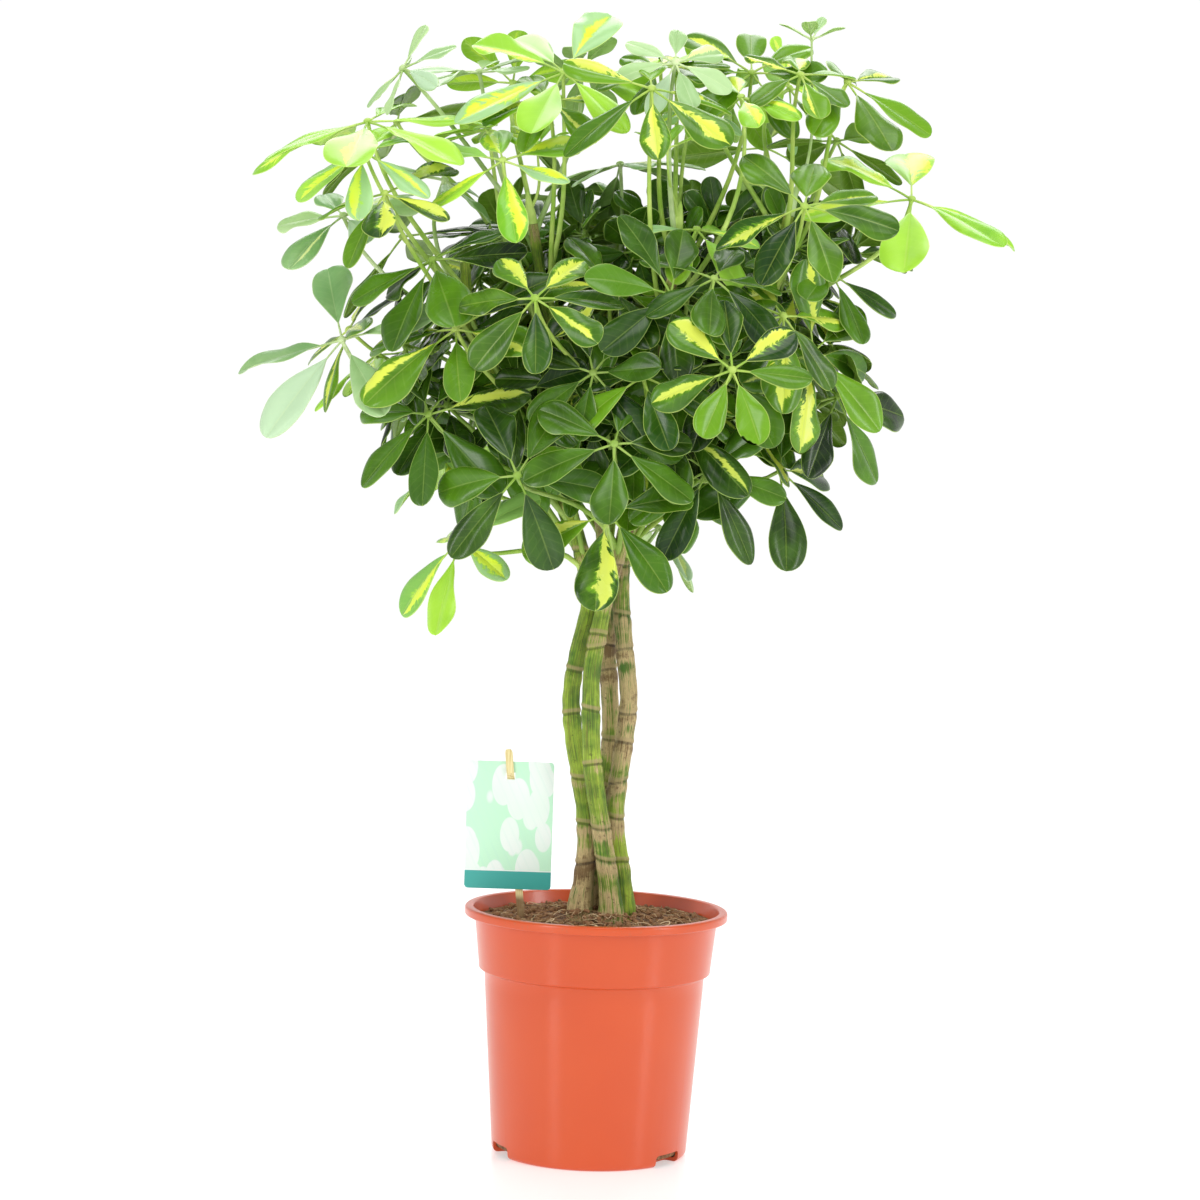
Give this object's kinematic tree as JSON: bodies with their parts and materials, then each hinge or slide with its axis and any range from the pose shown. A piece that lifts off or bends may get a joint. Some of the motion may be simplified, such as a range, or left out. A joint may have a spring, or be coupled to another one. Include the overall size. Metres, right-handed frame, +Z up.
{
  "type": "potted umbrella plant",
  "caption": "House plant with a crown of palmate, cream-flamed leaves on a trunk trained into a lantern, in a terracotta-coloured nursery pot with a plain label card.",
  "frame": {"origin": "middle of the pot's flat underside, on the surface it stands on", "axes": "+Z up along the pot's axis, -Y towards the front, +X to the right seen from the front"},
  "size_m": [0.6144, 0.4314, 0.9108],
  "materials": {
    "pot": "satin terracotta-coloured plastic",
    "soil": "moist fibrous peat",
    "bark": "green young bark with brown patches and leaf scars",
    "card": "coated card",
    "stake": "bare pale wood",
    "leaf_dark": "waxy dark green leaf",
    "leaf_flamed": "waxy green leaf with a cream-yellow flame",
    "leaf_lime": "fresh lime-green leaf",
    "leaf_pale": "pale grey-green leaf"
  },
  "bodies": {
    "root": {"pot": "pot", "soil": "soil", "label_card": "card", "label_stake": "stake", "stem_left": "bark", "stem_front": "bark", "stem_right": "bark", "stem_back": "bark", "leaf_01": "leaf_lime", "leaf_02": "leaf_lime", "leaf_03": "leaf_flamed", "leaf_04": "leaf_pale", "leaf_05": "leaf_lime", "leaf_06": "leaf_lime", "leaf_07": "leaf_lime", "leaf_08": "leaf_flamed", "leaf_09": "leaf_pale", "leaf_10": "leaf_flamed", "leaf_11": "leaf_flamed", "leaf_12": "leaf_pale", "leaf_13": "leaf_lime", "leaf_14": "leaf_lime", "leaf_15": "leaf_flamed", "leaf_16": "leaf_flamed", "leaf_17": "leaf_flamed", "leaf_18": "leaf_dark", "leaf_19": "leaf_flamed", "leaf_20": "leaf_lime", "leaf_21": "leaf_pale", "leaf_22": "leaf_dark", "leaf_23": "leaf_flamed", "leaf_24": "leaf_flamed", "leaf_25": "leaf_pale", "leaf_26": "leaf_lime", "leaf_27": "leaf_flamed", "leaf_28": "leaf_dark", "leaf_29": "leaf_flamed", "leaf_30": "leaf_lime", "leaf_31": "leaf_dark", "leaf_32": "leaf_flamed", "leaf_33": "leaf_dark", "leaf_34": "leaf_flamed", "leaf_35": "leaf_flamed", "leaf_36": "leaf_dark", "leaf_37": "leaf_dark", "leaf_38": "leaf_dark", "leaf_39": "leaf_dark", "leaf_40": "leaf_dark", "leaf_41": "leaf_dark", "leaf_42": "leaf_lime", "leaf_43": "leaf_flamed", "leaf_44": "leaf_pale", "leaf_45": "leaf_lime", "shoot_1": "leaf_dark", "shoot_2": "leaf_dark", "shoot_3": "leaf_dark", "tip_front": "leaf_lime", "tip_right": "leaf_pale", "tip_back": "leaf_lime"}
  },
  "joints": []
}
